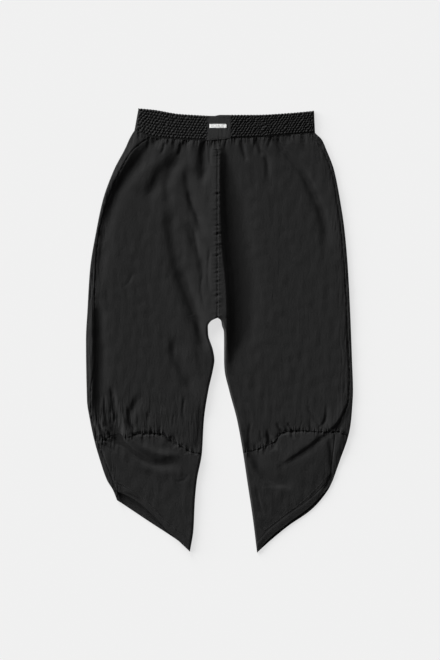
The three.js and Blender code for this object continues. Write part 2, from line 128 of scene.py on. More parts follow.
# The outer side of each leg, from the waist seam down to the hem.
OUTLINE_RIGHT = table(("y", "x"), [
    (399, -171), (386, -179), (362, -190), (320, -212), (260, -234), (200, -247), (120, -260),
    (40, -265), (-20, -268), (-140, -266), (-180, -260), (-222, -251), (-260, -240), (-300, -226),
    (-320, -214), (-340, -206),
])
OUTLINE_LEFT = table(("y", "x"), [
    (394, 190), (380, 204), (362, 212), (320, 228), (260, 240), (200, 249), (120, 256), (20, 261),
    (-60, 264), (-120, 266), (-160, 264), (-190, 261), (-214, 256), (-260, 240), (-300, 226),
])

# The side seams, which lie on the front a little in from the outer side.
SIDE_SEAM_RIGHT = table(("y", "x"), [
    (384, -142), (370, -162), (354, -178), (312, -202), (264, -222), (204, -239), (130, -248),
    (48, -250), (-42, -248), (-76, -249), (-110, -257), (-150, -258), (-222, -244), (-230, -241),
    (-260, -229.6), (-340, -199),
])
SIDE_SEAM_LEFT = table(("y", "x"), [
    (391, 184), (360, 205), (308, 225), (250, 235), (190, 243), (120, 249), (0, 255), (-100, 259),
    (-140, 257), (-160, 250), (-180, 242), (-205, 231), (-220, 229.3), (-300, 220),
])

# The inner edges: the centre seam, the crotch, the inner leg and the lower leg.
INNER_RIGHT = table(("y", "x"), [
    (390, CENTRE_X), (CROTCH_Y, CENTRE_X), (21.5, -12), (17, -19), (8, -24), (-8, -23.5), (-40, -14),
    (-60, -11), (-80, -14), (-120, -23), (-180, -32), (-246, -36), (-300, -46), (-340, -50),
    (-400, -53), (-443, -60),
])
INNER_LEFT = table(("y", "x"), [
    (390, CENTRE_X), (CROTCH_Y, CENTRE_X), (21.5, 0), (17, 2.5), (8, 4), (-2, 7.5), (-20, 8), (-60, 8),
    (-80, 9), (-120, 18), (-180, 34), (-246, 46), (-300, 54), (-380, 66), (-445, 74),
])

# The seams and hems that cross the legs.
WAIST_SEAM = table(("x", "y"), [
    (-171, 399), (-150, 389), (-130, 383.5), (-107, 381.5), (-63, 379), (-27, 378), (22, 382),
    (84, 385), (113, 388), (157, 391), (190, 394),
])
BAND_TOP = table(("x", "y"), [
    (-163, 443), (-132, 440), (-84, 432), (-56, 430), (-12, 428), (0, 430), (72, 430), (144, 434),
    (188, 438),
])
# How the band narrows from the waist seam to its top edge. The label's sides stay upright.
BAND_SIDES = table(("bottom", "top"), [(-171, -163), (-28, -28), (24, 24), (190, 188)])
CUFF_SEAM_RIGHT = table(("x", "y"), [
    (-251, -222), (-236, -221), (-216, -212), (-200, -209), (-188, -216), (-170, -210), (-120, -208),
    (-98, -221), (-76, -234), (-49, -247), (-36, -246),
])
CUFF_SEAM_LEFT = table(("x", "y"), [
    (256, -214), (236, -204), (206, -205), (152, -202), (122, -208), (108, -225), (88, -234),
    (60, -244), (46, -246),
])
HEM_FRONT_RIGHT = table(("x", "y"), [
    (-214, -320), (-192, -328), (-170, -340), (-136, -368), (-104, -402), (-80, -424), (-60, -443),
])
HEM_BACK_RIGHT = table(("x", "y"), [
    (-206, -340), (-176, -360), (-140, -384), (-100, -410), (-80, -424), (-60, -443),
])
HEM_FRONT_LEFT = table(("x", "y"), [
    (226, -300), (212, -320), (180, -354), (140, -384), (100, -416), (74, -445),
])
HEM_BACK_LEFT = table(("x", "y"), [
    (226, -300), (216, -320), (184, -358), (136, -392), (104, -418), (74, -445),
])

LEG_COLUMNS = (
    "name", "side", "seed", "outline", "side_seam", "inner", "cuff_seam", "cuff_span",
    "hem_front", "hem_back", "hem_drop", "hem_lift",
)
LEGS = table(LEG_COLUMNS, [
    ("right", -1.0, 101, OUTLINE_RIGHT, SIDE_SEAM_RIGHT, INNER_RIGHT, CUFF_SEAM_RIGHT,
     (-248.0, -38.0), HEM_FRONT_RIGHT, HEM_BACK_RIGHT, 1.0, 6.0),
    ("left", 1.0, 201, OUTLINE_LEFT, SIDE_SEAM_LEFT, INNER_LEFT, CUFF_SEAM_LEFT,
     (48.0, 252.0), HEM_FRONT_LEFT, HEM_BACK_LEFT, 3.4, 3.2),
])

# The folds of the front: a ridge has a height over zero and a trough one below.
# "left" and "right" are its widths on each side, seen along its path from the first point.
FOLDS = table(("height", "left", "right", "path"), [
    (3.2, 4, 50, [(3, 396), (-1, 290), (1, 200), (5, 148), (11, 88), (13, 4), (15, -46), (20, -90)]),
    (2.5, 4, 14, [(3, 390), (-1, 340), (-1, 290), (1, 220)]),
    (5.4, 5, 54, [(1, 330), (2, 190), (5, 148), (11, 88), (13, 44), (13, 10), (14, -36), (18, -84)]),
    (3.4, 5, 36, [(3, 260), (6, 150), (11, 90), (14, 44), (14, 4), (16, -46), (20, -110)]),
    (-5.6, 16, 6, [(14, 420), (13, 290), (17, 194), (25, 148), (31, 88), (33, 40), (30, 0), (28, -80)]),
    (-7.8, 24, 18, [(24, 350), (36, 200), (46, 120), (50, 60), (48, 10), (42, -30), (34, -84)]),
    (3.6, 8, 9, [(-152, 394), (-178, 354), (-204, 316), (-221, 283), (-234, 250), (-246, 200)]),
    (-4.6, 15, 8, [(-110, 410), (-151, 354), (-178, 320), (-203, 283), (-232, 203), (-246, 60)]),
    (3.6, 6, 7, [(-256, 66), (-256, -20), (-257, -80), (-258, -140), (-250, -200)]),
    (-5.6, 15, 7, [(-245, 84), (-244, 3), (-242, -63), (-244, -130), (-241, -172), (-234, -200)]),
    (-3.6, 16, 14, [(-64, 372), (-92, 336), (-116, 309), (-154, 244)]),
    (-2.6, 12, 8, [(-84, 350), (-98, 318), (-106, 284), (-104, 240)]),
    (-0.8, 6, 5, [(-120, 322), (-134, 292), (-144, 262)]),
    (1.6, 14, 16, [(-88, 380), (-116, 345), (-140, 316), (-160, 280)]),
    (-4.6, 9, 10, [(-30, 390), (-31, 350), (-31, 326), (-38, 284)]),
    (2.2, 9, 12, [(-48, 384), (-50, 345), (-52, 312)]),
    (-4.2, 12, 8, [(-70, 334), (-64, 290), (-57, 257), (-42, 217), (-32, 180)]),
    (-4.2, 11, 8, [(-66, 222), (-50, 172), (-37, 137), (-29, 88)]),
    (-2.8, 15, 12, [(-108, 272), (-100, 232), (-94, 177), (-80, 110), (-64, 70), (-51, 37), (-38, -10)]),
    (-5.6, 13, 9, [(-88, 136), (-62, 66), (-49, 35), (-41, 2), (-28, -60)]),
    (1.8, 12, 26, [(-104, 130), (-78, 34), (-58, -40), (-42, -100)]),
    (2.0, 10, 22, [(-124, 262), (-110, 170), (-94, 90)]),
    (-3.8, 18, 9, [(-98, -6), (-86, -60), (-66, -98), (-48, -140)]),
    (-2.2, 3, 3, [(-192, -212), (-170, -208), (-140, -206), (-118, -211), (-98, -223), (-80, -235)]),
    (-1.8, 3, 3, [(108, -220), (124, -207), (150, -202), (176, -204)]),
    (-3.6, 6, 10, [(-220, -104), (-205, -170), (-190, -210)]),
    (-3.0, 9, 6, [(-160, -124), (-180, -183), (-165, -216)]),
    (-4.0, 7, 8, [(-228, -150), (-215, -195), (-200, -228)]),
    (5.2, 8, 9, [(-206, -170), (-182, -212), (-152, -236), (-116, -248), (-70, -252)]),
    (-6.4, 7, 8, [(-216, -172), (-203, -214), (-184, -236), (-158, -255), (-130, -267), (-80, -270)]),
    (2.8, 8, 10, [(-212, -214), (-184, -246), (-152, -270), (-116, -282)]),
    (1.4, 10, 14, [(-136, -280), (-104, -286), (-66, -286)]),
    (-2.2, 7, 9, [(-36, -150), (-38, -200), (-46, -250)]),
    (-3.0, 20, 14, [(96, 396), (134, 354), (167, 314), (189, 272), (208, 223), (222, 130)]),
    (-3.8, 8, 7, [(60, 412), (100, 384), (132, 356), (166, 314), (188, 272), (207, 223), (220, 150)]),
    (2.0, 6, 16, [(258, -132), (247, -160), (231, -187), (204, -207), (171, -233), (98, -279)]),
    (-1.6, 8, 4, [(260, -142), (242, -184), (214, -206), (180, -233), (140, -260), (108, -277)]),
    (-4.6, 16, 7, [(50, -190), (66, -250), (84, -286), (108, -304), (160, -314)]),
    (-2.6, 6, 6, [(90, -204), (104, -226), (112, -244)]),
    (-2.4, 6, 4, [(216, -212), (222, -246), (223, -286)]),
    (-3.0, 7, 6, [(-106, -216), (-96, -224), (-88, -236)]),
    (-2.6, 7, 6, [(-82, -228), (-72, -238), (-62, -246)]),
    # Sharper creases, each a few millimetres wide.
    (-2.2, 5, 3, [(-66, 282), (-60, 256), (-49, 232), (-42, 214)]),
    (-1.8, 5, 3, [(-54, 206), (-47, 172), (-42, 146)]),
    (-2.2, 7, 4, [(-66, 60), (-54, 34), (-44, 4), (-40, -22)]),
    (-0.8, 3, 3, [(-172, 116), (-184, 94), (-200, 84)]),
    (-2.4, 5, 3, [(-218, -112), (-212, -160), (-206, -188), (-192, -212)]),
    (-4.2, 5, 4, [(-218, -168), (-205, -212), (-184, -235), (-158, -254), (-128, -268)]),
    (-1.6, 3, 2, [(262, -134), (248, -164), (232, -190), (212, -207)]),
    (3.2, 3, 3, [(-250, -180), (-243, -198), (-236, -216)]),
    (3.4, 3, 3, [(-240, -176), (-232, -196), (-222, -212)]),
    (3.2, 3, 3, [(-234, -192), (-221, -203), (-208, -218)]),
    (2.8, 3, 3, [(-247, -204), (-235, -217), (-226, -232)]),
    (-2.6, 4, 3, [(-250, -208), (-230, -220), (-208, -226), (-186, -236)]),
    (-1.4, 4, 3, [(-242, -226), (-226, -234), (-206, -246)]),
    (-2.6, 3, 3, [(-222, -196), (-206, -208), (-190, -224)]),
    (2.6, 3, 3, [(-230, -210), (-219, -221), (-204, -228)]),
    (-2.4, 4, 3, [(112, -184), (121, -200), (134, -208)]),
    (-2.0, 3, 3, [(134, -184), (142, -196), (150, -208)]),
    (-2.0, 3, 3, [(92, -196), (98, -216), (96, -236)]),
    (-2.6, 4, 3, [(-184, -152), (-181, -182), (-170, -206)]),
    (0.8, 4, 4, [(-174, -150), (-171, -184), (-160, -206)]),
    (-1.8, 4, 3, [(-232, -130), (-230, -170), (-222, -206)]),
    (-1.2, 3, 3, [(-144, -160), (-146, -186), (-142, -204)]),
    (-1.3, 3, 3, [(-70, -130), (-74, -160), (-68, -186)]),
    (-2.2, 4, 3, [(-78, 376), (-80, 362), (-84, 346)]),
    (-2.6, 5, 4, [(-34, 378), (-37, 352), (-33, 322)]),
    (-1.6, 3, 3, [(-20, 376), (-21, 352), (-18, 326)]),
    (-1.6, 3, 3, [(-110, 376), (-113, 362), (-118, 350)]),
    (-2.8, 5, 4, [(40, 388), (46, 362), (54, 334)]),
    (-2.8, 5, 4, [(70, 390), (78, 366), (86, 344)]),
    (-2.4, 6, 5, [(82, 372), (94, 336), (96, 292)]),
    (-2.0, 5, 4, [(106, 384), (126, 362), (148, 334)]),
    (-1.4, 5, 4, [(160, 322), (182, 286), (194, 258)]),
    (-1.3, 4, 3, [(-20, 170), (-24, 110), (-20, 70)]),
    (-1.3, 4, 3, [(-34, 120), (-38, 84), (-30, 40)]),
    (-1.4, 4, 3, [(172, -150), (186, -172), (200, -192)]),
    (-1.5, 4, 3, [(214, -146), (212, -176), (196, -198)]),
    (-1.2, 3, 3, [(62, -180), (58, -208), (60, -234)]),
    (-1.0, 3, 3, [(80, -200), (82, -216), (80, -228)]),
    (-0.7, 3, 3, [(84, -310), (108, -311), (132, -310)]),
    (-1.0, 3, 3, [(70, -308), (78, -340), (88, -378)]),
    (-0.7, 3, 3, [(-60, -282), (-72, -300), (-92, -304)]),
    (-2.6, 4, 4, [(223, -286), (217, -306), (205, -322)]),
    (-3.6, 3, 3, [(-212, -322), (-180, -331), (-163, -340), (-147, -357), (-130, -373), (-118, -389)]),
    (1.4, 3, 3, [(-208, -331), (-184, -339), (-168, -348), (-151, -364), (-136, -379)]),
])
# A fold fades in and out over this share of its path, and is left out past this many widths.
FOLD_END_SHARE = 0.26
FOLD_WIDTHS = 3.0


def mix(start, end, share):
    return start + (end - start) * share


def ease(value):
    value = np.clip(value, 0.0, 1.0)
    return value * value * (3.0 - 2.0 * value)


def curve_through(rows, start, end):
    """A smooth curve through a table's rows that doesn't overshoot them."""
    ordered = sorted(rows, key=lambda row: row[start])
    at = np.array([row[start] for row in ordered], float)
    value = np.array([row[end] for row in ordered], float)
    slope = np.diff(value) / np.diff(at)
    before = np.concatenate([slope[:1], slope])
    after = np.concatenate([slope, slope[-1:]])
    product = before * after
    total = np.where(product > 0, before + after, 1.0)
    tangent = np.where(product > 0, 2.0 * product / total, 0.0)

    def curve(wanted):
        i = np.clip(np.searchsorted(at, wanted, side="right") - 1, 0, len(at) - 2)
        span = at[i + 1] - at[i]
        s = np.clip((wanted - at[i]) / span, 0.0, 1.0)
        start_turn = tangent[i] * span * s * (1.0 - s) ** 2
        end_turn = tangent[i + 1] * span * s * s * (1.0 - s)
        return mix(value[i], value[i + 1], ease(s)) + start_turn - end_turn

    return curve


def smooth_line(path, count=40):
    """Points along a smooth curve through a short path."""
    points = np.array(path, float)
    knots = np.concatenate([[0.0], np.cumsum(np.hypot(*np.diff(points, axis=0).T))])
    places = np.linspace(0.0, knots[-1], count)
    columns = []
    for axis in (0, 1):
        rows = [{"at": k, "value": p} for k, p in zip(knots, points[:, axis])]
        columns.append(curve_through(rows, "at", "value")(places))
    return np.stack(columns, axis=1)


def fold_height(fold, x, y):
    """What one fold adds to the height at each point."""
    line = smooth_line(fold["path"])
    reach = FOLD_WIDTHS * max(fold["left"], fold["right"])
    low = line.min(axis=0) - reach
    high = line.max(axis=0) + reach
    near = (x > low[0]) & (x < high[0]) & (y > low[1]) & (y < high[1])
    added = np.zeros_like(x)
    px, py = x[near], y[near]
    best = np.full(px.shape, np.inf)
    along = np.zeros_like(px)
    on_left = np.zeros(px.shape, bool)
    last = len(line) - 1
    for i in range(last):
        step = line[i + 1] - line[i]
        ax, ay = px - line[i][0], py - line[i][1]
        share = np.clip((ax * step[0] + ay * step[1]) / (step @ step), 0.0, 1.0)
        distance = np.hypot(ax - share * step[0], ay - share * step[1])
        closer = distance < best
        best = np.where(closer, distance, best)
        along = np.where(closer, (i + share) / last, along)
        on_left = np.where(closer, step[0] * ay - step[1] * ax > 0, on_left)
    width = np.where(on_left, fold["left"], fold["right"])
    across = np.exp(-((best / width) ** 2))
    at_ends = ease(along / FOLD_END_SHARE) * ease((1.0 - along) / FOLD_END_SHARE)
    added[near] = fold["height"] * across * at_ends
    return added


TILE_MM = 1024


def crease_field(seed, across, along, spread):
    """A repeating field of creases, one point a millimetre: they are "across" apart and "along"
    long, and "spread" is how far they turn from straight down.
    """
    random = np.random.default_rng(seed)
    spectrum = np.fft.rfft2(random.standard_normal((TILE_MM, TILE_MM)))
    down = np.fft.fftfreq(TILE_MM)[:, None]
    sideways = np.fft.rfftfreq(TILE_MM)[None, :]
    pitch = np.hypot(down, sideways)
    width_share = np.exp(-(((pitch * across - 1.0) / 0.5) ** 2))
    turn_share = np.exp(-((down / (spread * pitch + 1.0 / along)) ** 2))
    field = np.fft.irfft2(spectrum * width_share * turn_share, s=(TILE_MM, TILE_MM))
    return field / field.std()


def sampled(field, x, y):
    """The field's value at each point, between its nearest four."""
    u, v = np.mod(x, TILE_MM), np.mod(y, TILE_MM)
    i, j = np.floor(u).astype(int) % TILE_MM, np.floor(v).astype(int) % TILE_MM
    s, t = u - np.floor(u), v - np.floor(v)
    after_i, after_j = (i + 1) % TILE_MM, (j + 1) % TILE_MM
    low = mix(field[j, i], field[j, after_i], s)
    high = mix(field[after_j, i], field[after_j, after_i], s)
    return mix(low, high, t)


FINE_CREASES = crease_field(3, 5.0, 60.0, 0.12)
MIDDLE_CREASES = crease_field(4, 9.0, 90.0, 0.16)
BROAD_CREASES = crease_field(5, 21.0, 110.0, 0.3)
DENTS = crease_field(6, 34.0, 10.0, 3.0)
PATCHES = crease_field(7, 90.0, 10.0, 3.0)
GRAIN = crease_field(8, 6.5, 6.0, 3.0)

# The crinkle is strongest near the sides, above the lower legs and at the right leg's outer corner.
CRINKLE = {"all": 0.08, "side": 0.95, "above_cuff": 0.12, "above_right_cuff": 0.45, "corner": 1.3}
CRINKLE_SIDE_REACH = 36.0
CRINKLE_CUFF = {"y": -180.0, "reach": 42.0}
CRINKLE_CORNER = {"x": -222.0, "reach": 34.0}


def crinkle(x, y):
    """The cloth's own fine creases, stronger in some patches than in others."""
    patch = 0.55 + 0.45 * ease(0.5 + 0.4 * sampled(PATCHES, x, y))
    sharp = 0.7 - np.abs(sampled(MIDDLE_CREASES, x + 300.0, y + 200.0))
    smooth = 0.22 * sampled(FINE_CREASES, x, y) + 0.30 * sampled(MIDDLE_CREASES, x, y)
    return patch * (smooth + 0.32 * sharp)


def soft_dents(x, y):
    """Faint wider dents, as in soft washed cotton."""
    wide = 0.10 * sampled(BROAD_CREASES, x, y) + 0.18 * sampled(DENTS, x, y)
    return wide + 0.05 * sampled(GRAIN, x, y)


def from_outer_side(x, y):
    return np.minimum(x - outline_right(y), outline_left(y) - x)


def crinkle_share(x, y):
    """How much of the crinkle each place has."""
    side = 1.0 - ease(from_outer_side(x, y) / CRINKLE_SIDE_REACH)
    above_cuff = np.exp(-(((y - CRINKLE_CUFF["y"]) / CRINKLE_CUFF["reach"]) ** 2))
    right_share = ease((20.0 - x) / 60.0)
    corner = np.exp(-(((x - CRINKLE_CORNER["x"]) / CRINKLE_CORNER["reach"]) ** 2)) * above_cuff
    at_cuff = above_cuff * (CRINKLE["above_cuff"] + CRINKLE["above_right_cuff"] * right_share)
    return CRINKLE["all"] + CRINKLE["side"] * side + at_cuff + CRINKLE["corner"] * corner


def outer_edge_drop(x, y):
    """How much lower the cloth lies towards the outer side."""
    return OUTER_EDGE["drop"] * (1.0 - ease(from_outer_side(x, y) / OUTER_EDGE["slope"]))


def above_floor(height):
    """Troughs flatten softly where the front touches the back."""
    over = (height - LOWEST_FRONT) / SOFT_FLOOR
    return LOWEST_FRONT + SOFT_FLOOR * np.logaddexp(0.0, over)


def front_height(x, y):
    """The height of the front's upper face, before its gathers and edges."""
    height = np.full(x.shape, LYING_HEIGHT)
    for fold in FOLDS:
        height += fold_height(fold, x, y)
    height = above_floor(height - outer_edge_drop(x, y))
    return height + crinkle_share(x, y) * crinkle(x, y) + soft_dents(x, y)


def streaks(s, depth, seed, span, kind):
    """Short gathers that start at a seam: s is the place along it and depth the distance from it."""
    random = np.random.default_rng(seed + kind["seed"])
    depth = np.maximum(depth, 0.0)
    added = np.zeros_like(s)
    for k in range(kind["count"]):
        place = mix(*span, (k + random.uniform(0.15, 0.85)) / kind["count"])
        length = random.uniform(kind["shortest"], kind["longest"])
        length *= 1.0 + random.uniform(0.0, 1.0) ** 3
        width = random.uniform(*GATHER_SHAPE["width"])
        slant = random.uniform(*GATHER_SHAPE["slant"])
        strength = kind["strength"] * random.uniform(*GATHER_SHAPE["strength"])
        away = (s - place - slant * depth) / (width * (1.0 + depth / length))
        fade = np.clip(1.0 - depth / length, 0.0, 1.0)
        added -= strength * np.exp(-away * away) * fade
    return added


outline_right = curve_through(OUTLINE_RIGHT, "y", "x")
outline_left = curve_through(OUTLINE_LEFT, "y", "x")
waist_seam = curve_through(WAIST_SEAM, "x", "y")
band_top = curve_through(BAND_TOP, "x", "y")


def patch_between(top, bottom, outline, inner, corners):
    """A four-sided patch seen from above, with u from the outer side in and v from the top down."""
    top_outer, top_inner, bottom_outer, bottom_inner = corners
    left_top, right_top = outline(top_outer), inner(top_inner)
    left_bottom, right_bottom = outline(bottom_outer), inner(bottom_inner)

    def at(u, v):
        u, v = np.broadcast_arrays(u, v)
        top_x = mix(left_top, right_top, u)
        bottom_x = mix(left_bottom, right_bottom, u)
        outer_y = mix(top_outer, bottom_outer, v)
        inner_y = mix(top_inner, bottom_inner, v)
        down_y = mix(top(top_x), bottom(bottom_x), v)
        x = mix(outline(outer_y), inner(inner_y), u)
        across_y = mix(outer_y, inner_y, u)
        above_y = mix(top(left_top), top(right_top), u)
        below_y = mix(bottom(left_bottom), bottom(right_bottom), u)
        return x, down_y + across_y - mix(above_y, below_y, v)

    return at


def leg_curve(leg, name):
    """One of a leg's tables as a curve: seams and hems run across the leg, the others down it."""
    across = name in ("cuff_seam", "hem_front", "hem_back")
    return curve_through(leg[name], *("xy" if across else "yx"))


def raised(curve, lift):
    return lambda x: curve(x) + lift


def end_heights(rows, lift):
    """How far up the outer and the inner end of a seam or hem are."""
    return rows[0]["y"] + lift, rows[-1]["y"] + lift


def leg_patch(leg, top, bottom, corners):
    """One part of a leg, from its top curve to its bottom one and from its outer side in."""
    inner = leg_curve(leg, "inner")

    def inner_edge(y):
        return inner(y) + leg["side"] * np.where(y > CROTCH_Y, -SEAM_OVERLAP, SEAM_GAP)

    return patch_between(top, bottom, leg_curve(leg, "outline"), inner_edge, corners)


def seam_share(leg, patch, v):
    """The share of each row at which the side seam crosses it."""
    seam = leg_curve(leg, "side_seam")
    low = np.zeros_like(v)
    high = np.full_like(v, 0.6)
    for _ in range(40):
        middle = 0.5 * (low + high)
        x, y = patch(middle, v)
        outside = leg["side"] * (x - seam(y)) > 0
        low = np.where(outside, middle, low)
        high = np.where(outside, high, middle)
    return low


def row_shares(length):
    """Shares down a piece for its rows, closer together near the seams at its two ends."""
    reach = DOWN_SPACING["seam_reach"]
    near = np.arange(0.0, reach, DOWN_SPACING["near_seams"])
    count = int((length - 2.0 * reach) / DOWN_SPACING["between"])
    between = np.linspace(reach, length - reach, count)
    return np.concatenate([near, between, length - near[::-1]]) / length


def distance_between(start, end):
    return np.hypot(end[0] - start[0], end[1] - start[1])


def row_length(patch, v):
    return distance_between(patch(0.0, v), patch(1.0, v))


shift_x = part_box("waistband")[0][0] / MM - min(row["x"] for row in WAIST_SEAM)
shift_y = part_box("waistband")[1][1] / MM - max(row["y"] for row in BAND_TOP)


def add_object(name, data):
    """An object of the scene for a mesh, light or camera."""
    added = bpy.data.objects.new(name, data)
    bpy.context.scene.collection.objects.link(added)
    return added


def mesh_object(name, points, faces, material):
    """A mesh from points in millimetres of the garment's frame, which moves with the one body."""
    placed = (np.asarray(points) + np.array([shift_x, shift_y, 0.0])) * MM
    mesh = bpy.data.meshes.new(name)
    mesh.from_pydata(placed.tolist(), [], faces.tolist())
    mesh.validate()
    mesh.shade_smooth()
    mesh.materials.append(material)
    piece = add_object(name, mesh)
    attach(piece, "root")
    return piece


def quads_between(lines, next_lines):
    """Quads between lines of point numbers and the lines beside them."""
    corners = [lines[..., :-1], lines[..., 1:], next_lines[..., 1:], next_lines[..., :-1]]
    return np.stack(corners, axis=-1).reshape(-1, 4)


def point_numbers(rows, columns, first, ring):
    """The numbers of a grid's points. A ring's first column comes again at its end."""
    numbers = first + np.arange(rows * columns).reshape(rows, columns)
    return np.concatenate([numbers, numbers[:, :1]], axis=1) if ring else numbers


def closed_wall(outer, inner, ring=False):
    """Points and quads of a wall between two grids of points, closed at its edges."""
    points = np.concatenate([outer.reshape(-1, 3), inner.reshape(-1, 3)])
    out = point_numbers(*outer.shape[:2], 0, ring)
    back = point_numbers(*inner.shape[:2], outer.size // 3, ring)
    pairs = [(out[:-1], out[1:]), (back[1:], back[:-1]), (back[0], out[0]), (out[-1], back[-1])]
    if not ring:
        pairs += [(out[:, 0], back[:, 0]), (back[:, -1], out[:, -1])]
    faces = np.concatenate([quads_between(*pair) for pair in pairs])
    a, b, d = points[faces[:, 0]], points[faces[:, 1]], points[faces[:, 2]]
    if np.einsum("ij,ij->", a, np.cross(b, d)) < 0:
        faces = faces[:, ::-1]
    return points, faces


# Materials
CLOTH_GREY = 0.0105
BAND_GREY = 0.0124
THREAD_GREY = 0.02
LABEL_GREY = 0.0134
BAR_COLOUR = (0.75, 0.75, 0.74)
WARP_PER_METRE = 1600.0
WEFT_PER_METRE = 1400.0
LABEL_PER_METRE = 2600.0


def set_inputs(node, values):
    for name, value in values.items():
        node.inputs[name].default_value = value


def new_material(name, base, roughness, sheen, specular=0.18):
    """A matt shader with its constants on its own sockets, and its tree ready for more nodes."""
    material = bpy.data.materials.new(name)
    material.use_nodes = True
    tree = material.node_tree
    shader = tree.nodes["Principled BSDF"]
    set_inputs(shader, {
        "Base Color": (*base, 1.0),
        "Roughness": roughness,
        "Specular IOR Level": specular,
        "Sheen Weight": sheen,
        "Sheen Roughness": 0.45,
        "Sheen Tint": (0.8, 0.8, 0.8, 1.0),
    })
    return material, tree, shader


def texture(tree, kind, stretch, values):
    """A texture over the object's coordinates in metres, times a scale for each axis."""
    place = tree.nodes.new("ShaderNodeTexCoord")
    mapping = tree.nodes.new("ShaderNodeMapping")
    node = tree.nodes.new(kind)
    set_inputs(mapping, {"Scale": stretch})
    set_inputs(node, values)
    tree.links.new(place.outputs["Object"], mapping.inputs["Vector"])
    tree.links.new(mapping.outputs["Vector"], node.inputs["Vector"])
    return node


def noise(tree, stretch, detail):
    node = texture(tree, "ShaderNodeTexNoise", stretch, {"Scale": 1.0, "Detail": detail})
    return node.outputs["Fac"]


# The wave texture repeats every 2 pi / 20 metres at a scale of 1.
WAVE_SCALE = 2.0 * math.pi / 20.0


def thread_waves(tree, direction, threads_per_metre):
    """The rise and fall of threads that run across one direction."""
    scale = threads_per_metre * WAVE_SCALE
    values = {"Scale": scale, "Distortion": 1.2, "Detail": 1.0, "Detail Scale": 2.0}
    node = texture(tree, "ShaderNodeTexWave", (1.0, 1.0, 1.0), values)
    node.bands_direction = direction
    return node.outputs["Fac"]


def bump_chain(tree, shader, layers):
    """Bumps of several heights in metres, one after the other."""
    target = shader.inputs["Normal"]
    for height, source in reversed(layers):
        bump = tree.nodes.new("ShaderNodeBump")
        set_inputs(bump, {"Strength": 1.0, "Distance": height})
        tree.links.new(source, bump.inputs["Height"])
        tree.links.new(bump.outputs["Normal"], target)
        target = bump.inputs["Normal"]


def colour_between(tree, shader, source, dark, light):
    ramp = tree.nodes.new("ShaderNodeValToRGB")
    for element, place, colour in zip(ramp.color_ramp.elements, (0.3, 0.7), (dark, light)):
        element.position = place
        element.color = (*colour, 1.0)
    tree.links.new(source, ramp.inputs["Fac"])
    tree.links.new(ramp.outputs["Color"], shader.inputs["Base Color"])


def cotton(name, grey):
    """Black washed cotton: a plain weave, a fine crinkle along the warp and a soft nap."""
    material, tree, shader = new_material(name, (grey, grey, grey), 0.92, 0.08)
    streak = noise(tree, (380.0, 120.0, 380.0), 3.0)
    speckle = noise(tree, (700.0, 600.0, 700.0), 3.0)
    warp = thread_waves(tree, "X", WARP_PER_METRE)
    weft = thread_waves(tree, "Y", WEFT_PER_METRE)
    colour_between(tree, shader, speckle, (grey * 0.8,) * 3, (grey * 1.2,) * 3)
    bump_chain(tree, shader, [(0.0003, streak), (0.0002, speckle), (0.00008, warp), (0.00008, weft)])
    return material


def label_weave(name, base, roughness):
    """A close satin weave with raised weft threads."""
    material, tree, shader = new_material(name, base, roughness, 0.1)
    speckle = noise(tree, (1100.0, 1100.0, 1100.0), 2.0)
    weft = thread_waves(tree, "Y", LABEL_PER_METRE)
    warp = thread_waves(tree, "X", LABEL_PER_METRE)
    colour_between(tree, shader, speckle, tuple(0.5 * c for c in base), tuple(1.5 * c for c in base))
    bump_chain(tree, shader, [(0.0002, speckle), (0.0001, weft), (0.00006, warp)])
    return material


CLOTH = cotton("black_cotton", CLOTH_GREY)
BAND_CLOTH = cotton("band_cotton", BAND_GREY)
THREAD, thread_tree, thread_shader = new_material("black_thread", (THREAD_GREY,) * 3, 0.6, 0.05)
thread_twist = noise(thread_tree, (2500.0, 2500.0, 2500.0), 1.0)
bump_chain(thread_tree, thread_shader, [(0.0001, thread_twist)])
LABEL_GROUND = label_weave("label_ground", (LABEL_GREY,) * 3, 0.7)
BAR_WEAVE = label_weave("label_bar", BAR_COLOUR, 0.6)


# Fronts, backs and lower legs
def settle(height, distance):
    """An edge that lies on the back comes down to it."""
    return mix(LOWEST_FRONT, height, ease(distance / EDGE_SLOPE))


def seam_groove(distance, depth, width):
    return -depth * np.exp(-((distance / width) ** 2))


def pucker(s, distance, shift, height, reach):
    """Small uneven puckers where stitches draw a seam together."""
    fine = sampled(FINE_CREASES, s + shift, distance * 0.3)
    patch = 0.6 + 0.4 * sampled(BROAD_CREASES, s + shift, np.full_like(distance, shift))
    return height * fine * np.maximum(patch, 0.2) * np.exp(-((distance / reach) ** 2))


def dark_line(s, distance, shift, depth, width):
    """A seam's dark line, deep in some places and shallow in others."""
    strength = ease(0.35 + 0.6 * sampled(MIDDLE_CREASES, s * 0.7 + shift, np.zeros_like(s)))
    return strength * seam_groove(distance, depth, width)


def gathered_seam(leg, x, distance, kind):
    """The gathers, puckers and dark line on one side of the lower leg's seam."""
    height = streaks(x, distance, leg["seed"], leg["cuff_span"], GATHERS[kind])
    height += pucker(x, distance, leg["seed"] + FIELD_STARTS["cuff"], *PUCKERS[kind])
    height += seam_groove(distance, *GROOVES["cuff"])
    return height + dark_line(x, distance, leg["seed"], *DARK_LINES["cuff"])


def turned_up(from_hem, width):
    """Rises from 0 to 1 where the hem's turned-up cloth begins."""
    return ease((width + 1.0 - from_hem) / 2.0)


def cloth_piece(leg, kind, outer, inner):
    """A piece of one leg as a closed shell between two grids of points."""
    name = f"{kind}_{leg['name']}"
    points, faces = closed_wall(outer, inner)
    piece = mesh_object(f"{name}_cloth", points, faces, CLOTH)
    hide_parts(name)
    return piece


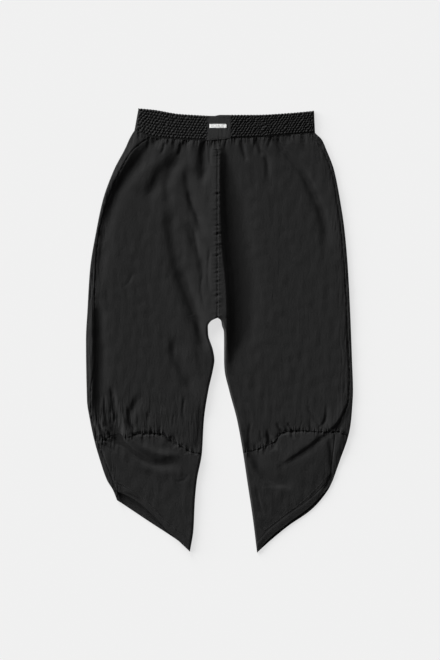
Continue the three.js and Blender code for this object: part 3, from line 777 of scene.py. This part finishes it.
def front_piece(leg, kind, patch, height_at, v, columns, thickness):
    """A front piece as a thin shell whose upper face carries all its folds."""
    start = seam_share(leg, patch, v)[:, None]
    length = row_length(patch, v)[:, None]
    u = start + SEAM_GAP / 2.0 / length + (1.0 - start) * np.linspace(0.0, 1.0, columns)
    u = np.minimum(u, 1.0)
    v = np.repeat(v[:, None], columns, axis=1)
    x, y = patch(u, v)
    z = height_at(x, y, u, v, (u - start) * length, length)
    outer = np.stack([x, y, z], axis=-1)
    inner = np.stack([x, y, z - thickness(u, v)], axis=-1)
    return cloth_piece(leg, kind, outer, inner), outer


def back_crease(x, y):
    """Shallow creases of the back, which rise from the surface that it lies on."""
    folds = 0.9 * ease(0.5 + 0.5 * sampled(BROAD_CREASES, 0.5 * x + 610.0, 0.5 * y))
    small = 0.5 * ease(0.4 + crinkle(x + 710.0, y))
    return folds * small + 0.25 * small


def back_piece(leg, kind, patch, height_at, v, hem_thickness=None):
    """A back piece: it lies on the surface and turns up over the outer side to the side seam."""
    end = seam_share(leg, patch, v)[:, None]
    length = row_length(patch, v)[:, None]
    roll = ROLL_DEPTH / length
    v = v[:, None]

    def at(u, z):
        x, y = patch(u, v)
        return np.stack([x, y, np.broadcast_to(z, x.shape)], axis=-1)

    def top(u):
        u, down = np.broadcast_arrays(u, v)
        return height_at(*patch(u, down), u, down, (end - u) * length, length)

    edge_top = top(roll)
    under_count = int(length.max() / UNDER_SPACING)
    under_u = mix(1.0, roll, np.linspace(0.0, 1.0, under_count)[:-1])
    strip_count = max(3, int((end * length - ROLL_DEPTH).max() / STRIP_SPACING))
    strip_u = mix(roll, end, np.linspace(0.0, 1.0, strip_count + 1)[1:])
    angles = np.radians(np.linspace(-90.0, 90.0, 11))

    def section(offset):
        under = at(under_u, 0.0)
        crease = back_crease(under[..., 0], under[..., 1])
        crease = crease * ease((under_u - roll) * length / BACK_CREASE_START)
        under[..., 2] = crease + offset
        if hem_thickness is not None and offset > 0.0:
            under[..., 2] += hem_thickness(under_u, v)
        reach = ROLL_DEPTH - (ROLL_DEPTH - offset) * np.cos(angles)
        turn_z = edge_top / 2.0 + (edge_top / 2.0 - offset) * np.sin(angles)
        turn = at(reach / length, turn_z)
        strip = at(strip_u, top(strip_u) - offset)
        return np.concatenate([under, turn, strip], axis=1)

    return cloth_piece(leg, kind, section(0.0), section(WALL))


def leg_upper(leg):
    """One leg from the waist seam to the seam of the lower leg."""
    cuff_seam = leg_curve(leg, "cuff_seam")
    seed = leg["seed"]
    waist_ends = (leg["outline"][0]["y"] + SEAM_OVERLAP, float(waist_seam(CENTRE_X)) + SEAM_OVERLAP)
    corners = (*waist_ends, *end_heights(leg["cuff_seam"], SEAM_GAP))
    patch = leg_patch(leg, raised(waist_seam, SEAM_OVERLAP), raised(cuff_seam, SEAM_GAP), corners)

    def height_at(x, y, u, v, from_side, length):
        from_inner = (1.0 - u) * length
        above_crotch = np.maximum(y - CROTCH_Y, 0.0)
        height = settle(front_height(x, y), np.hypot(from_inner, above_crotch))
        from_waist = waist_seam(x) - y
        from_centre = np.abs(x - CENTRE_X)
        height += streaks(from_centre, from_waist, seed, WAIST_GATHER_SPAN, GATHERS["waist"])
        height += pucker(x, from_waist, seed, *PUCKERS["waist"])
        height += seam_groove(from_waist, *GROOVES["waist"])
        height += gathered_seam(leg, x, y - cuff_seam(x), "above_cuff")
        height += seam_groove(from_side, *GROOVES["side"])
        height += dark_line(y, from_side, seed + FIELD_STARTS["side"], *DARK_LINES["side"])
        centre_share = ease(above_crotch / 8.0)
        height += centre_share * seam_groove(from_inner, *GROOVES["centre"])
        height += centre_share * pucker(y, from_inner, FIELD_STARTS["centre"], *PUCKERS["centre"])
        return np.maximum(LOWEST_FRONT, height)

    rows = row_shares(corners[1] - corners[3])
    columns = int(row_length(patch, np.array([0.5]))[0] / ACROSS_SPACING)
    front, upper = front_piece(leg, "front", patch, height_at, rows, columns, lambda u, v: WALL)
    back = back_piece(leg, "back", patch, height_at, rows)
    return upper


def leg_lower(leg):
    """One leg's lower part, which comes to a point at the inner side."""
    cuff_seam = leg_curve(leg, "cuff_seam")

    def patch_to(hem):
        corners = (*end_heights(leg["cuff_seam"], SEAM_OVERLAP), *end_heights(leg[hem], 0.0))
        return leg_patch(leg, raised(cuff_seam, SEAM_OVERLAP), leg_curve(leg, hem), corners)

    front_patch = patch_to("hem_front")
    back_patch = patch_to("hem_back")

    def length_down(patch, u):
        return distance_between(patch(u, 0.0), patch(u, 1.0))

    def height_at(x, y, u, v, from_side, length):
        from_inner = (1.0 - u) * length
        from_hem = (1.0 - v) * length_down(front_patch, u)
        height = front_height(x, y) - leg["hem_drop"] * (1.0 - ease(from_hem / HEM_SLOPE))
        height = settle(np.maximum(LOWEST_FRONT, height), from_inner)
        at_hem = mix(leg["hem_lift"], height, ease(from_hem / HEM_REACH))
        open_share = ease((u - HEM_OPENING["start"]) / HEM_OPENING["over"])
        height = mix(height, at_hem, open_share)
        height += gathered_seam(leg, x, cuff_seam(x) - y, "below_cuff")
        height += seam_groove(from_side, *GROOVES["cuff_side"])
        height = np.maximum(LOWEST_FRONT, height)
        height += HEM_THICKNESS["front"] * turned_up(from_hem, HEM_WIDTH["front"])
        return height + seam_groove(from_hem - HEM_WIDTH["front"], *GROOVES["hem"])

    def thickness(u, v):
        from_hem = (1.0 - v) * length_down(front_patch, u)
        return WALL + HEM_THICKNESS["front"] * turned_up(from_hem, HEM_WIDTH["front"])

    def back_hem(u, v):
        u, v = np.broadcast_arrays(u, v)
        from_hem = (1.0 - v) * length_down(back_patch, u)
        raised = HEM_THICKNESS["back"] * turned_up(from_hem, HEM_WIDTH["back"])
        return raised + seam_groove(from_hem - HEM_WIDTH["back"], *GROOVES["back_hem"])

    row_count = int(length_down(front_patch, np.array([0.75]))[0] / CUFF_DOWN_SPACING)
    rows = np.linspace(0.0, 1.0, row_count)
    columns = int(row_length(front_patch, np.array([0.4]))[0] / ACROSS_SPACING)
    front, upper = front_piece(leg, "cuff_front", front_patch, height_at, rows, columns, thickness)
    back = back_piece(leg, "cuff_back", back_patch, height_at, rows, back_hem)
    return upper


# Waistband
band_side = curve_through(BAND_SIDES, "bottom", "top")
BAND_START_X, BAND_END_X = WAIST_SEAM[0]["x"], WAIST_SEAM[-1]["x"]
BAND_WIDTH = BAND_END_X - BAND_START_X


def band_point(u, v):
    """Where a share of the band's width and height lies, seen from above."""
    bottom_x = mix(BAND_START_X, BAND_END_X, u)
    top_x = band_side(bottom_x)
    return mix(top_x, bottom_x, v), mix(band_top(top_x), waist_seam(bottom_x) + SEAM_GAP, v)


def shirring(u, v, shift):
    """The raised puffs between rows of elastic thread, drawn into slanting gathers."""
    left_share = ease((u - 0.3) / 0.3)

    def towards_left(ends):
        return mix(ends["right"], ends["left"], left_share)

    s = u * BAND_WIDTH
    row = v * (SHIRR_ROWS + PLAIN_STRIP["share"])
    index = np.floor(row)
    within = row - index
    wander = sampled(BROAD_CREASES, s + shift, v * 120.0)
    puff = np.abs(np.sin(math.pi * within)) ** towards_left(SHIRR_FULLNESS)
    phase = s / SHIRR_RIB + towards_left(SHIRR_SLANT) * within + 0.5 * index + 0.16 * wander
    rib = (0.5 + 0.5 * np.cos(2.0 * math.pi * phase)) ** 0.65
    size = 0.85 + 0.12 * sampled(MIDDLE_CREASES, s + shift, v * 200.0)
    relief = towards_left(SHIRR_DEPTH) * size * puff * (0.06 + 0.94 * rib)
    plain = ease((row - SHIRR_ROWS) / 0.25)
    x = mix(BAND_START_X, BAND_END_X, u)
    beside_label = ease((x - LABEL_X - LABEL_WIDTH / 2.0) / 3.0) * ease((96.0 - x) / 20.0)
    line = np.exp(-(((row - SHIRR_ROWS - 0.1) / 0.22) ** 2))
    return mix(relief, PLAIN_STRIP["height"], plain) - (0.5 + 2.6 * beside_label) * line * plain


def under_label(u):
    """1 where the label covers the band, and 0 elsewhere."""
    x = mix(BAND_START_X, BAND_END_X, u)
    return 1.0 - ease((np.abs(x - LABEL_X) - LABEL_WIDTH / 2.0 + 2.0) / 2.0)


def waistband():
    """The waistband: one shirred ring pressed flat."""
    v = np.linspace(0.0, 1.0, BAND_POINTS["down"])[:, None]
    roll = ROLL_DEPTH / BAND_WIDTH
    front_u = np.linspace(roll, 1.0 - roll, BAND_POINTS["front"])[None, :]
    back_u = np.linspace(1.0 - roll, roll, BAND_POINTS["back"])[None, 1:-1]
    turn = np.radians(np.linspace(90.0, -90.0, BAND_POINTS["side"]))[None, 1:]

    def at(u, z, v):
        u, full = np.broadcast_arrays(u, v)
        x, y = band_point(u, full)
        drawn_in = 0.5 * np.cos(2.0 * math.pi * u * BAND_WIDTH / SHIRR_RIB)
        y = y + drawn_in * np.exp(-((v * BAND_DEPTH / 2.5) ** 2)) * (1.0 - under_label(u))
        return np.stack([x, y, np.broadcast_to(z, u.shape)], axis=-1)

    def loop(v, offset, relief):
        front = at(front_u, BAND_HEIGHT - offset + relief["front"], v)
        back = at(back_u, offset + np.maximum(relief["back"], 0.0), v)
        half = BAND_HEIGHT / 2.0
        reach = ROLL_DEPTH - (ROLL_DEPTH - offset) * np.cos(turn)
        turn_z = half + (half - offset) * np.sin(turn) + relief["side"]
        right = at(1.0 - reach / BAND_WIDTH, turn_z, v)
        left = at(reach[:, ::-1] / BAND_WIDTH, turn_z[:, ::-1], v)
        return np.concatenate([front, right, back, left], axis=1)

    edges = seam_groove(v * BAND_DEPTH, *GROOVES["band_top"])
    edges = edges + seam_groove((1.0 - v) * BAND_DEPTH, *GROOVES["band_bottom"])
    on_side = shirring(np.broadcast_to(roll, (1, turn.shape[1])), v, 31)
    shirred = {
        "front": shirring(front_u, v, 31) * (1.0 - under_label(front_u)) + edges,
        "back": BACK_RELIEF_SHARE * (SHIRR_DEPTH["right"] - shirring(back_u, v, 41)),
        "side": 0.24 * on_side * np.cos(turn),
    }
    smooth = {"front": 0.0, "back": 1.2, "side": 0.0}
    outer = loop(v, 0.0, shirred)
    inner = loop(np.array([[0.0], [0.5], [1.0]]), BAND_WALL, smooth)
    points, faces = closed_wall(outer, inner, ring=True)
    band = mesh_object("waistband_shirred", points, faces, BAND_CLOTH)
    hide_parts("waistband")


def waist_label():
    """A plain woven label with a plain pale bar, which stands for any lettering."""
    count = 60
    left = LABEL_X - LABEL_WIDTH / 2.0 + LABEL_INSET["side"]
    right = LABEL_X + LABEL_WIDTH / 2.0 - LABEL_INSET["side"]

    def sides(x):
        return band_top(x) - LABEL_INSET["top"], waist_seam(x) + LABEL_INSET["bottom"]

    def surface(x, y, lift):
        top, bottom = sides(x)
        across = np.minimum(x - left, right - x)
        edge = np.minimum(across, np.minimum(top - y, y - bottom))
        wave = 0.12 * sampled(DENTS, x, y) + 0.08 * sampled(MIDDLE_CREASES, x, y)
        rounding = seam_groove(edge, *GROOVES["label_edge"])
        stitched = seam_groove(edge - 2.4, *GROOVES["label_stitches"])
        z = BAND_HEIGHT + LABEL_LIFT + lift + wave + rounding + stitched
        return np.stack([x, y, z], axis=-1)

    x, share = np.meshgrid(np.linspace(left, right, count), np.linspace(0.0, 1.0, count))
    y = mix(*sides(x), share)
    points, faces = closed_wall(surface(x, y, LABEL_THICKNESS), surface(x, y, 0.0))
    label = mesh_object("label_weave", points, faces, LABEL_GROUND)
    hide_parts("waist_label")

    columns = 90
    bar_x, bar_y = np.meshgrid(np.linspace(*LABEL_BAR["x"], columns), np.linspace(*LABEL_BAR["y"], 16))
    threads = LABEL_BAR["thread"] * (np.arange(columns) % 2)[None, :]
    bar_top = surface(bar_x, bar_y, LABEL_THICKNESS + LABEL_BAR["lift"] + threads)
    points, faces = closed_wall(bar_top, surface(bar_x, bar_y, LABEL_THICKNESS - 0.1))
    mesh_object("label_bar", points, faces, BAR_WEAVE)


# Stitching
STITCH = {"length": 2.6, "gap": 0.9, "radius": 0.34, "sides": 6}
STITCH_STATIONS = table(("share", "lift", "size"), [
    (0.0, -0.25, 0.6), (0.2, 0.12, 0.95), (0.5, 0.25, 1.0), (0.8, 0.12, 0.95), (1.0, -0.25, 0.6),
])
STITCH_LIFT = 0.12


def stitch_row(places, first):
    """Raised stitches along a line of points, as points and as faces that count from "first"."""
    steps = np.linalg.norm(np.diff(places, axis=0), axis=1)
    at = np.concatenate([[0.0], np.cumsum(steps)])
    shares = np.array([station["share"] for station in STITCH_STATIONS])
    length, sides = STITCH["length"], STITCH["sides"]
    angles = 2.0 * math.pi * np.arange(sides)[:, None] / sides
    points, faces = [], []
    for start in np.arange(0.0, at[-1] - length, length + STITCH["gap"]):
        places_at = start + length * shares
        centre = np.stack([np.interp(places_at, at, places[:, k]) for k in range(3)], axis=1)
        along = centre[-1] - centre[0]
        along /= np.linalg.norm(along)
        sideways = np.cross(along, [0.0, 0.0, 1.0])
        sideways /= np.linalg.norm(sideways)
        up = np.cross(sideways, along)
        ring = (sideways * np.cos(angles) + up * np.sin(angles)) * STITCH["radius"]
        for middle, station in zip(centre, STITCH_STATIONS):
            points.append(middle + up * station["lift"] + ring * station["size"])
        numbers = point_numbers(len(shares), sides, first, True)
        faces.append(quads_between(numbers[:-1], numbers[1:]))
        last = first + sides * (len(shares) - 1)
        for end, turn in ((first, -1), (last, 1)):
            cap = (end + np.arange(sides))[::turn]
            faces.append(cap[[[0, 1, 2, 3], [0, 3, 4, 5]]])
        first = last + sides
    return np.concatenate(points), np.concatenate(faces)


def stitching(name, rows, surface):
    """Stitches that lie on the drawn surface along rows of points seen from above."""
    points, faces = np.empty((0, 3)), np.empty((0, 4), int)
    for row in rows:
        placed = np.column_stack([row, surface(row[:, 0], row[:, 1])])
        more_points, more_faces = stitch_row(placed, len(points))
        points = np.concatenate([points, more_points])
        faces = np.concatenate([faces, more_faces])
    mesh_object(name, points, faces, THREAD)


def surface_sampler(tops):
    """The height of the upper faces near any point, from the points of their grids."""
    cloud = np.concatenate([top.reshape(-1, 3) for top in tops])
    tree = kdtree.KDTree(len(cloud))
    for i, point in enumerate(cloud):
        tree.insert((point[0], point[1], 0.0), i)
    tree.balance()

    def height(x, y):
        result = []
        for a, b in zip(x, y):
            near = tree.find_n((a, b, 0.0), 3)
            weights = [1.0 / (d + 0.05) for _, _, d in near]
            total = sum(w * cloud[i][2] for w, (_, i, _) in zip(weights, near))
            result.append(total / sum(weights))
        return np.array(result) + STITCH_LIFT

    return height


# Rows of stitches beside the seams, and along the hems.
HEM_STITCHES = [
    [(-216, -299), (-194, -309), (-170, -323), (-152, -337), (-134, -356), (-102, -388), (-68, -414)],
    [(214, -292), (200, -308), (168, -340), (128, -370), (84, -404)],
]
BESIDE_SEAM = 3.2
CENTRE_STITCHES = (374.0, 30.0)


def stitch_lines():
    """The lines of all the stitches, as points seen from above."""
    lines = [np.array([(CENTRE_X + BESIDE_SEAM, y) for y in np.arange(*CENTRE_STITCHES, -1.0)])]
    for leg in LEGS:
        seam = leg_curve(leg, "cuff_seam")
        x = np.arange(leg["cuff_span"][0] + 14.0, leg["cuff_span"][1] - 12.0)
        lines.append(np.stack([x, seam(x) + BESIDE_SEAM], axis=1))
    lines += [smooth_line(path, 220) for path in HEM_STITCHES]
    return lines


tops = []
for leg in LEGS:
    tops += [leg_upper(leg), leg_lower(leg)]
waistband()
waist_label()
stitching("seam_stitches", stitch_lines(), surface_sampler(tops))

# Floor, light and camera. The floor has a painted glow of its own, which lifts the black cloth's
# shadows on it so that the floor stays pale right round the cloth.
FLOOR_HALF = 14.0
FLOOR_Z = -0.0004
FLOOR_GREY = 0.2
FLOOR_SHADOW_FILL_GLOW = 0.67
floor_mesh = bpy.data.meshes.new("floor")
floor_mesh.from_pydata(
    [(sx * FLOOR_HALF, sy * FLOOR_HALF, FLOOR_Z) for sx, sy in ((-1, -1), (1, -1), (1, 1), (-1, 1))],
    [],
    [(0, 1, 2, 3)],
)
floor = add_object("floor", floor_mesh)
floor_material, _, floor_shader = new_material("pale_floor", (FLOOR_GREY,) * 3, 0.9, 0.0, 0.1)
# Painted glow: the floor's emission fills in the shadows that the cloth casts on it.
set_inputs(floor_shader, {"Emission Color": (1, 1, 1, 1), "Emission Strength": FLOOR_SHADOW_FILL_GLOW})
floor_mesh.materials.append(floor_material)

# Two soft lights from a wide window at the upper left, and an even room light.
WINDOW_ELEVATION = math.radians(17.5)
WINDOW_BEARINGS = (118.0, 158.0)
WINDOW_SPREAD = math.radians(28.0)
WINDOW_SHARE = 0.84
ROOM_SHARE = 0.16
for number, bearing in enumerate(WINDOW_BEARINGS, 1):
    light_data = bpy.data.lights.new(f"window_light_{number}", "SUN")
    light_data.energy = WINDOW_SHARE / len(WINDOW_BEARINGS) * math.pi / math.sin(WINDOW_ELEVATION)
    light_data.angle = WINDOW_SPREAD
    light = add_object(f"window_light_{number}", light_data)
    turn = math.radians(bearing + 90.0)
    light.rotation_euler = (math.pi / 2.0 - WINDOW_ELEVATION, 0.0, turn)

world = bpy.data.worlds.new("soft_room")
world.use_nodes = True
set_inputs(world.node_tree.nodes["Background"], {"Color": (1.0, 1.0, 1.0, 1.0), "Strength": ROOM_SHARE})
bpy.context.scene.world = world
bpy.context.scene.view_settings.view_transform = "Standard"

PHOTO_HEIGHT_MM = 1320.0
CAMERA_DISTANCE = 6.0
camera_data = bpy.data.cameras.new("camera")
camera_data.lens = camera_data.sensor_width * CAMERA_DISTANCE / (PHOTO_HEIGHT_MM * MM)
camera_data.clip_end = 50.0
camera = add_object("camera", camera_data)
camera.location = (shift_x * MM, shift_y * MM, CAMERA_DISTANCE)
bpy.context.scene.camera = camera
